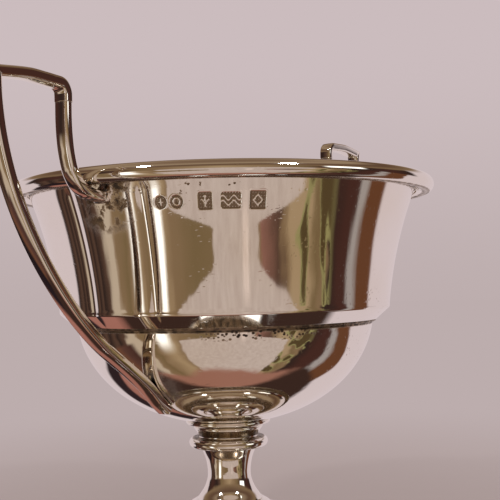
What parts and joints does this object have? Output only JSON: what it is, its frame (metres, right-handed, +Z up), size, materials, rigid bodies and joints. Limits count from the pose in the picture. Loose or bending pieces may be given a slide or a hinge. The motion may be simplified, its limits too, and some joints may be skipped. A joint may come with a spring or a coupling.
{
  "type": "sugar bowl",
  "caption": "Two-handled pedestal sugar bowl in polished silver: flaring creased wall over a rounded cup, thick moulded rim, angular loop handles, waisted stem and stepped round foot.",
  "frame": {"origin": "centre of the foot's base, on the surface the bowl stands on", "axes": "+Z up along the bowl's axis, X through both handles, Y front to back"},
  "size_m": [0.1394, 0.094, 0.0982],
  "materials": {
    "body_silver": "polished",
    "rim_silver": "polished",
    "stem_silver": "polished",
    "foot_silver": "polished",
    "handle_silver": "polished"
  },
  "bodies": {
    "root": {"upper_body": "body_silver", "lower_bowl": "body_silver", "rim_wire": "rim_silver", "stem_collar": "stem_silver", "stem": "stem_silver", "foot": "foot_silver", "foot_wire": "foot_silver", "right_riser": "handle_silver", "right_bar": "handle_silver", "right_strap": "handle_silver", "left_riser": "handle_silver", "left_bar": "handle_silver", "left_strap": "handle_silver"}
  },
  "joints": []
}
